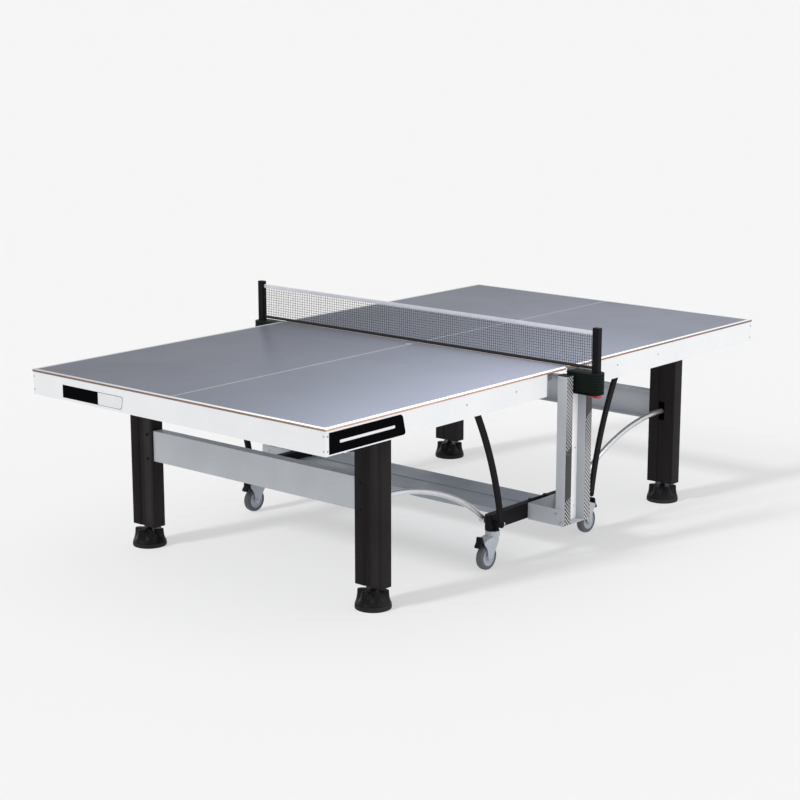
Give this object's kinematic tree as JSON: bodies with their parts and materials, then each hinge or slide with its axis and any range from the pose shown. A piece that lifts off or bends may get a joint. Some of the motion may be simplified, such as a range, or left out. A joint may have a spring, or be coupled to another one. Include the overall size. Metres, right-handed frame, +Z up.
{
  "type": "folding ping pong table",
  "caption": "Outdoor ping pong table with two folding halves, central wheeled chassis, net, levelling feet and braked casters.",
  "frame": {"origin": "on the floor under the middle of the net", "axes": "+X along the table towards the right half, +Y across it away from the near side, +Z up"},
  "size_m": [2.74, 1.8298, 0.9255],
  "materials": {
    "table_top": "satin",
    "white_steel": "satin",
    "frame_steel": "satin",
    "grey_steel": "satin",
    "black_alloy": "satin",
    "black_steel": "satin",
    "zinc": "satin",
    "silver_tube": "satin",
    "black_plastic": "matte",
    "dark_moulding": "matte",
    "black_rubber": "matte",
    "net_yarn": "open weave",
    "white_tape": "woven",
    "red_plastic": "gloss",
    "fork_plastic": "satin",
    "grey_tyre": "matte",
    "nylon": "matte"
  },
  "bodies": {
    "chassis": {"post_near_right": "grey_steel", "post_near_left": "grey_steel", "post_far_right": "grey_steel", "post_far_left": "grey_steel", "post_caps": "black_plastic", "web_plates": "white_steel", "beams": "black_steel", "centre_tray": "grey_steel", "base_brackets": "grey_steel", "stop_buffers": "black_rubber", "chassis_bolts": "zinc", "net_brackets": "dark_moulding", "net_posts": "black_alloy", "net_mesh": "net_yarn", "net_tape": "white_tape"},
    "lock_lever": {"lock_lever": "red_plastic"},
    "slide_right": {"slide_blocks_right": "nylon"},
    "top_right": {"board_right": "table_top", "side_rails_right": "white_steel", "end_rail_right": "white_steel", "subframe_right": "frame_steel", "leg_shaft_right": "zinc", "rail_screws_right": "zinc"},
    "legs_right": {"leg_near_right": "black_alloy", "leg_far_right": "black_alloy", "crossbar_right": "grey_steel"},
    "arms_right": {"arms_right": "black_steel"},
    "stays_right": {"stays_right": "silver_tube"},
    "foot_base_near_right": {"foot_base_near_right": "black_rubber"},
    "foot_knob_near_right": {"foot_knob_near_right": "black_plastic"},
    "fork_near_right": {"caster_fork_near_right": "fork_plastic"},
    "wheel_near_right": {"wheel_near_right": "grey_tyre"},
    "pedal_near_right": {"brake_pedal_near_right": "black_plastic"},
    "foot_base_far_right": {"foot_base_far_right": "black_rubber"},
    "foot_knob_far_right": {"foot_knob_far_right": "black_plastic"},
    "fork_far_right": {"caster_fork_far_right": "fork_plastic"},
    "wheel_far_right": {"wheel_far_right": "grey_tyre"},
    "pedal_far_right": {"brake_pedal_far_right": "black_plastic"},
    "slide_left": {"slide_blocks_left": "nylon"},
    "top_left": {"board_left": "table_top", "side_rails_left": "white_steel", "end_rail_left": "white_steel", "subframe_left": "frame_steel", "leg_shaft_left": "zinc", "rail_screws_left": "zinc"},
    "legs_left": {"leg_near_left": "black_alloy", "leg_far_left": "black_alloy", "crossbar_left": "grey_steel"},
    "arms_left": {"arms_left": "black_steel"},
    "stays_left": {"stays_left": "silver_tube"},
    "foot_base_near_left": {"foot_base_near_left": "black_rubber"},
    "foot_knob_near_left": {"foot_knob_near_left": "black_plastic"},
    "fork_near_left": {"caster_fork_near_left": "fork_plastic"},
    "wheel_near_left": {"wheel_near_left": "grey_tyre"},
    "pedal_near_left": {"brake_pedal_near_left": "black_plastic"},
    "foot_base_far_left": {"foot_base_far_left": "black_rubber"},
    "foot_knob_far_left": {"foot_knob_far_left": "black_plastic"},
    "fork_far_left": {"caster_fork_far_left": "fork_plastic"},
    "wheel_far_left": {"wheel_far_left": "grey_tyre"},
    "pedal_far_left": {"brake_pedal_far_left": "black_plastic"}
  },
  "joints": [
    {"name": "lock_lever_pull", "type": "hinge", "parent": "chassis", "child": "lock_lever", "pos_m": [0, -0.869, 0.674], "axis": [1, 0, 0], "range_deg": [0, 30], "stiffness_Nm_per_rad": 0.5, "springref_deg": -5.73},
    {"name": "right_pin_slide", "type": "slide", "parent": "chassis", "child": "slide_right", "axis": [0, 0, -1], "range_m": [0, 0.452]},
    {"name": "right_top_fold", "type": "hinge", "parent": "slide_right", "child": "top_right", "pos_m": [0.064, 0, 0.73], "axis": [0, -1, 0], "range_deg": [0, 90]},
    {"name": "right_legs_fold", "type": "hinge", "parent": "top_right", "child": "legs_right", "pos_m": [0.875, 0, 0.7], "axis": [0, 1, 0], "range_deg": [0, 75]},
    {"name": "right_arms_swing", "type": "hinge", "parent": "chassis", "child": "arms_right", "pos_m": [0.298, 0, 0.178], "axis": [0, -1, 0], "range_deg": [0, 40.31]},
    {"name": "right_stays_swing", "type": "hinge", "parent": "chassis", "child": "stays_right", "pos_m": [0.311, 0, 0.19], "axis": [0, -1, 0], "range_deg": [0, 79.31]},
    {"name": "near_right_foot_rise", "type": "slide", "parent": "legs_right", "child": "foot_base_near_right", "axis": [0, 0, -1], "range_m": [0, 0.02]},
    {"name": "near_right_foot_turn", "type": "hinge", "parent": "foot_base_near_right", "child": "foot_knob_near_right", "pos_m": [0.95, -0.597, 0.05], "axis": [0, 0, 1], "range_deg": [0, 3600]},
    {"name": "near_right_caster_swivel", "type": "hinge", "parent": "chassis", "child": "fork_near_right", "pos_m": [0.293, -0.627, 0.13], "axis": [0, 0, 1], "continuous": true},
    {"name": "near_right_wheel_roll", "type": "hinge", "parent": "fork_near_right", "child": "wheel_near_right", "pos_m": [0.331, -0.627, 0.05], "axis": [0, 1, 0], "continuous": true},
    {"name": "near_right_brake_press", "type": "hinge", "parent": "fork_near_right", "child": "pedal_near_right", "pos_m": [0.325, -0.627, 0.116], "axis": [0, 1, 0], "range_deg": [0, 12], "stiffness_Nm_per_rad": 0.3, "springref_deg": -5.73},
    {"name": "far_right_foot_rise", "type": "slide", "parent": "legs_right", "child": "foot_base_far_right", "axis": [0, 0, -1], "range_m": [0, 0.02]},
    {"name": "far_right_foot_turn", "type": "hinge", "parent": "foot_base_far_right", "child": "foot_knob_far_right", "pos_m": [0.95, 0.597, 0.05], "axis": [0, 0, 1], "range_deg": [0, 3600]},
    {"name": "far_right_caster_swivel", "type": "hinge", "parent": "chassis", "child": "fork_far_right", "pos_m": [0.293, 0.627, 0.13], "axis": [0, 0, 1], "continuous": true},
    {"name": "far_right_wheel_roll", "type": "hinge", "parent": "fork_far_right", "child": "wheel_far_right", "pos_m": [0.331, 0.627, 0.05], "axis": [0, 1, 0], "continuous": true},
    {"name": "far_right_brake_press", "type": "hinge", "parent": "fork_far_right", "child": "pedal_far_right", "pos_m": [0.325, 0.627, 0.116], "axis": [0, 1, 0], "range_deg": [0, 12], "stiffness_Nm_per_rad": 0.3, "springref_deg": -5.73},
    {"name": "left_pin_slide", "type": "slide", "parent": "chassis", "child": "slide_left", "axis": [0, 0, -1], "range_m": [0, 0.452]},
    {"name": "left_top_fold", "type": "hinge", "parent": "slide_left", "child": "top_left", "pos_m": [-0.064, 0, 0.73], "axis": [0, 1, 0], "range_deg": [0, 90]},
    {"name": "left_legs_fold", "type": "hinge", "parent": "top_left", "child": "legs_left", "pos_m": [-0.875, 0, 0.7], "axis": [0, -1, 0], "range_deg": [0, 75]},
    {"name": "left_arms_swing", "type": "hinge", "parent": "chassis", "child": "arms_left", "pos_m": [-0.298, 0, 0.178], "axis": [0, 1, 0], "range_deg": [0, 40.31]},
    {"name": "left_stays_swing", "type": "hinge", "parent": "chassis", "child": "stays_left", "pos_m": [-0.311, 0, 0.19], "axis": [0, 1, 0], "range_deg": [0, 79.31]},
    {"name": "near_left_foot_rise", "type": "slide", "parent": "legs_left", "child": "foot_base_near_left", "axis": [0, 0, -1], "range_m": [0, 0.02]},
    {"name": "near_left_foot_turn", "type": "hinge", "parent": "foot_base_near_left", "child": "foot_knob_near_left", "pos_m": [-0.95, -0.597, 0.05], "axis": [0, 0, 1], "range_deg": [0, 3600]},
    {"name": "near_left_caster_swivel", "type": "hinge", "parent": "chassis", "child": "fork_near_left", "pos_m": [-0.293, -0.627, 0.13], "axis": [0, 0, 1], "continuous": true},
    {"name": "near_left_wheel_roll", "type": "hinge", "parent": "fork_near_left", "child": "wheel_near_left", "pos_m": [-0.331, -0.627, 0.05], "axis": [0, 1, 0], "continuous": true},
    {"name": "near_left_brake_press", "type": "hinge", "parent": "fork_near_left", "child": "pedal_near_left", "pos_m": [-0.325, -0.627, 0.116], "axis": [0, -1, 0], "range_deg": [0, 12], "stiffness_Nm_per_rad": 0.3, "springref_deg": -5.73},
    {"name": "far_left_foot_rise", "type": "slide", "parent": "legs_left", "child": "foot_base_far_left", "axis": [0, 0, -1], "range_m": [0, 0.02]},
    {"name": "far_left_foot_turn", "type": "hinge", "parent": "foot_base_far_left", "child": "foot_knob_far_left", "pos_m": [-0.95, 0.597, 0.05], "axis": [0, 0, 1], "range_deg": [0, 3600]},
    {"name": "far_left_caster_swivel", "type": "hinge", "parent": "chassis", "child": "fork_far_left", "pos_m": [-0.293, 0.627, 0.13], "axis": [0, 0, 1], "continuous": true},
    {"name": "far_left_wheel_roll", "type": "hinge", "parent": "fork_far_left", "child": "wheel_far_left", "pos_m": [-0.331, 0.627, 0.05], "axis": [0, 1, 0], "continuous": true},
    {"name": "far_left_brake_press", "type": "hinge", "parent": "fork_far_left", "child": "pedal_far_left", "pos_m": [-0.325, 0.627, 0.116], "axis": [0, -1, 0], "range_deg": [0, 12], "stiffness_Nm_per_rad": 0.3, "springref_deg": -5.73}
  ],
  "couplings": [
    {"joint": "right_pin_slide", "follows": "right_top_fold", "m_per_rad": 0.28775},
    {"joint": "right_legs_fold", "follows": "right_top_fold", "ratio": 0.83333},
    {"joint": "right_arms_swing", "follows": "right_top_fold", "ratio": 0.44777},
    {"joint": "right_stays_swing", "follows": "right_top_fold", "ratio": 0.8811},
    {"joint": "near_right_foot_rise", "follows": "near_right_foot_turn", "m_per_rad": 0.000318},
    {"joint": "far_right_foot_rise", "follows": "far_right_foot_turn", "m_per_rad": 0.000318},
    {"joint": "left_pin_slide", "follows": "left_top_fold", "m_per_rad": 0.28775},
    {"joint": "left_legs_fold", "follows": "left_top_fold", "ratio": 0.83333},
    {"joint": "left_arms_swing", "follows": "left_top_fold", "ratio": 0.44777},
    {"joint": "left_stays_swing", "follows": "left_top_fold", "ratio": 0.8811},
    {"joint": "near_left_foot_rise", "follows": "near_left_foot_turn", "m_per_rad": 0.000318},
    {"joint": "far_left_foot_rise", "follows": "far_left_foot_turn", "m_per_rad": 0.000318}
  ]
}
